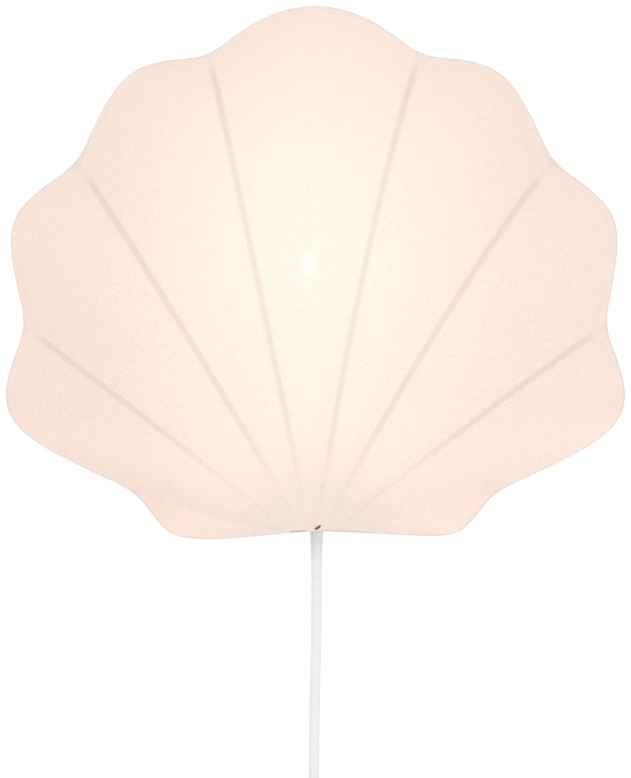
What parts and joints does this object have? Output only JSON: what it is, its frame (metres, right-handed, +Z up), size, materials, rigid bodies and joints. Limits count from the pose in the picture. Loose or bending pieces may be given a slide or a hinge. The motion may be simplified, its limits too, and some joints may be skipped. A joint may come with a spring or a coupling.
{
  "type": "shell wall sconce",
  "caption": "Plug-in wall lamp with a scalloped shell of stretch fabric over a wire frame, an upright bulb inside, and a textile cord with a rocker switch and a coil below.",
  "frame": {"origin": "middle of the wall bracket's back face, on the wall", "axes": "+Y into the wall, -Y out of it towards the viewer, +X the viewer's right, +Z up"},
  "size_m": [0.401, 0.104, 0.7802],
  "materials": {
    "cover_jersey": "fine stretch jersey, single knit",
    "elastic": "woven elastic",
    "frame_wire": "powder coated steel wire",
    "bracket_steel": "powder coated pressed steel",
    "zinc_plated": "zinc plated",
    "white_plastic": "satin moulding",
    "holder_plastic": "satin thermoplastic",
    "ceramic_white": "unglazed steatite",
    "brass_contact": "stamped",
    "clear_glass": "clear",
    "nickel_cap": "nickel plated",
    "black_glass": "vitrite insulator",
    "solder": "solder",
    "filament_phosphor": "phosphor coated",
    "cord_textile": "diamond braided textile over two cores",
    "tie_strap": "hook and loop strap",
    "sleeve_rubber": "soft moulded sleeve",
    "core_insulation": "insulated cores",
    "switch_plastic": "moulded",
    "rocker_plastic": "moulded"
  },
  "bodies": {
    "lamp": {"centre_contact": "brass_contact", "contact_block": "ceramic_white", "cord_coil": "cord_textile", "cord_drop_lower": "cord_textile", "cord_drop_upper": "cord_textile", "cord_grip": "white_plastic", "cord_grip_screw": "white_plastic", "cord_tie": "tie_strap", "cover_back_band": "cover_jersey", "hem_elastic": "elastic", "holder_bracket": "bracket_steel", "inner_lead": "cord_textile", "lampholder_cap": "holder_plastic", "lampholder_skirt": "holder_plastic", "lead_cores": "core_insulation", "nipple_nut": "zinc_plated", "plug_body": "switch_plastic", "plug_pins": "nickel_cap", "rib_lower_left": "frame_wire", "rib_lower_right": "frame_wire", "rib_middle_left": "frame_wire", "rib_middle_right": "frame_wire", "rib_upper_left": "frame_wire", "rib_upper_right": "frame_wire", "rim_wire": "frame_wire", "screw_shell": "brass_contact", "shell_cover": "cover_jersey", "spine_wire_left": "frame_wire", "spine_wire_right": "frame_wire", "strain_relief": "sleeve_rubber", "switch_back_case": "switch_plastic", "switch_front_case": "switch_plastic", "switch_screws": "zinc_plated", "switch_terminals": "brass_contact", "terminal_screws": "zinc_plated", "threaded_nipple": "zinc_plated", "wall_bracket": "bracket_steel"},
    "bulb": {"bulb_glass": "clear_glass", "bulb_cap": "nickel_cap", "cap_insulator": "black_glass", "cap_contact": "solder", "filament_stem": "clear_glass", "led_filaments": "filament_phosphor", "filament_wires": "nickel_cap"},
    "rocker": {"switch_rocker": "rocker_plastic"}
  },
  "joints": [
    {"name": "bulb_unscrew", "type": "slide", "parent": "lamp", "child": "bulb", "axis": [0, 0, 1], "range_m": [0, 0.03]},
    {"name": "rocker_tilt", "type": "hinge", "parent": "lamp", "child": "rocker", "pos_m": [-0.0004, -0.0131, -0.4146], "axis": [1, 0, 0], "range_deg": [-16, 0]}
  ]
}
